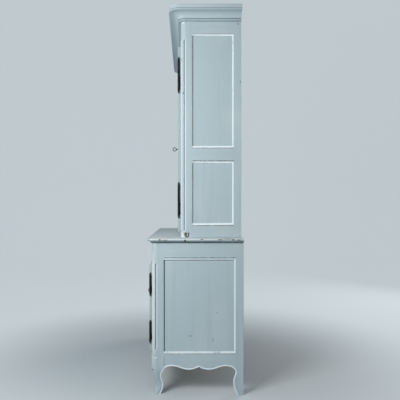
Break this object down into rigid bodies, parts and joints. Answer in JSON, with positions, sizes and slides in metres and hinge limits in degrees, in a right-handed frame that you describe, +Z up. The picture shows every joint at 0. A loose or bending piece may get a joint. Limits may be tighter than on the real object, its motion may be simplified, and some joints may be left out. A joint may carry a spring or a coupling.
{
  "type": "two-part buffet",
  "caption": "Tall painted buffet in two bodies: a deep low cupboard on cabriole feet under a shallower arched-door cupboard with cornice, barrel hinges and keyed locks.",
  "frame": {"origin": "on the floor, at the middle of the footprint", "axes": "+Z is up, the doors face -Y, and +X is to the right of someone who stands in front of the doors and looks along +Y"},
  "size_m": [1.406, 0.63, 2.36],
  "materials": {
    "grey_blue_paint": "worn satin grey-blue paint with white lines on the mouldings",
    "bare_wood": "unpainted boards, dry and aged",
    "dark_iron": "dark oxidised iron",
    "worn_steel": "dull worn steel"
  },
  "bodies": {
    "carcass": {"cornice": "grey_blue_paint", "lower_back": "bare_wood", "lower_door_lower_hinge_L_post_half": "dark_iron", "lower_door_lower_hinge_R_post_half": "dark_iron", "lower_door_upper_hinge_L_post_half": "dark_iron", "lower_door_upper_hinge_R_post_half": "dark_iron", "lower_floor": "bare_wood", "lower_front_apron": "grey_blue_paint", "lower_front_frieze": "grey_blue_paint", "lower_front_post_L": "grey_blue_paint", "lower_front_post_R": "grey_blue_paint", "lower_shelf": "bare_wood", "lower_side_frame_L": "grey_blue_paint", "lower_side_frame_R": "grey_blue_paint", "lower_side_panel_L": "grey_blue_paint", "lower_side_panel_R": "grey_blue_paint", "lower_top": "grey_blue_paint", "upper_back": "bare_wood", "upper_ceiling": "bare_wood", "upper_door_lower_hinge_L_post_half": "dark_iron", "upper_door_lower_hinge_R_post_half": "dark_iron", "upper_door_upper_hinge_L_post_half": "dark_iron", "upper_door_upper_hinge_R_post_half": "dark_iron", "upper_floor": "bare_wood", "upper_front_frieze": "grey_blue_paint", "upper_front_post_L": "grey_blue_paint", "upper_front_post_R": "grey_blue_paint", "upper_front_rail": "grey_blue_paint", "upper_shelf_1": "bare_wood", "upper_shelf_2": "bare_wood", "upper_short_panel_L": "grey_blue_paint", "upper_short_panel_R": "grey_blue_paint", "upper_side_frame_L": "grey_blue_paint", "upper_side_frame_R": "grey_blue_paint", "upper_tall_panel_L": "grey_blue_paint", "upper_tall_panel_R": "grey_blue_paint"},
    "upper_door_R": {"upper_door_frame_R": "grey_blue_paint", "upper_door_panel_R": "grey_blue_paint", "upper_door_lower_hinge_R_door_half": "dark_iron", "upper_door_upper_hinge_R_door_half": "dark_iron", "upper_lock_case": "dark_iron"},
    "upper_door_L": {"upper_door_frame_L": "grey_blue_paint", "upper_door_panel_L": "grey_blue_paint", "upper_door_lower_hinge_L_door_half": "dark_iron", "upper_door_upper_hinge_L_door_half": "dark_iron"},
    "upper_key": {"upper_key": "worn_steel"},
    "upper_lock_bolt": {"upper_lock_bolt": "worn_steel"},
    "upper_slide_bolt": {"upper_slide_bolt": "dark_iron"},
    "lower_door_R": {"lower_door_frame_R": "grey_blue_paint", "lower_door_panel_R": "grey_blue_paint", "lower_door_lower_hinge_R_door_half": "dark_iron", "lower_door_upper_hinge_R_door_half": "dark_iron", "lower_lock_case": "dark_iron"},
    "lower_door_L": {"lower_door_frame_L": "grey_blue_paint", "lower_door_panel_L": "grey_blue_paint", "lower_door_lower_hinge_L_door_half": "dark_iron", "lower_door_upper_hinge_L_door_half": "dark_iron"},
    "lower_key": {"lower_key": "worn_steel"},
    "lower_lock_bolt": {"lower_lock_bolt": "worn_steel"},
    "lower_slide_bolt": {"lower_slide_bolt": "dark_iron"}
  },
  "joints": [
    {"name": "upper_door_R_hinge", "type": "hinge", "parent": "carcass", "child": "upper_door_R", "pos_m": [0.579, -0.081, 0.983], "axis": [0, 0, 1], "range_deg": [0, 170]},
    {"name": "upper_door_L_hinge", "type": "hinge", "parent": "carcass", "child": "upper_door_L", "pos_m": [-0.579, -0.081, 0.983], "axis": [0, 0, -1], "range_deg": [0, 170]},
    {"name": "upper_key_turn", "type": "hinge", "parent": "upper_door_R", "child": "upper_key", "pos_m": [0.031, -0.085, 1.563], "axis": [0, -1, 0], "range_deg": [0, 360]},
    {"name": "upper_lock_bolt_slide", "type": "slide", "parent": "upper_door_R", "child": "upper_lock_bolt", "axis": [-1, 0, 0], "range_m": [0, 0.012]},
    {"name": "upper_slide_bolt_slide", "type": "slide", "parent": "upper_door_L", "child": "upper_slide_bolt", "axis": [0, 0, 1], "range_m": [0, 0.02]},
    {"name": "lower_door_R_hinge", "type": "hinge", "parent": "carcass", "child": "lower_door_R", "pos_m": [0.624, -0.255, 0.247], "axis": [0, 0, 1], "range_deg": [0, 170]},
    {"name": "lower_door_L_hinge", "type": "hinge", "parent": "carcass", "child": "lower_door_L", "pos_m": [-0.624, -0.255, 0.247], "axis": [0, 0, -1], "range_deg": [0, 170]},
    {"name": "lower_key_turn", "type": "hinge", "parent": "lower_door_R", "child": "lower_key", "pos_m": [0.031, -0.259, 0.524], "axis": [0, -1, 0], "range_deg": [0, 360]},
    {"name": "lower_lock_bolt_slide", "type": "slide", "parent": "lower_door_R", "child": "lower_lock_bolt", "axis": [-1, 0, 0], "range_m": [0, 0.012]},
    {"name": "lower_slide_bolt_slide", "type": "slide", "parent": "lower_door_L", "child": "lower_slide_bolt", "axis": [0, 0, 1], "range_m": [0, 0.02]}
  ],
  "couplings": [
    {"joint": "upper_lock_bolt_slide", "follows": "upper_key_turn", "m_per_rad": 0.0019098},
    {"joint": "lower_lock_bolt_slide", "follows": "lower_key_turn", "m_per_rad": 0.0019098}
  ]
}
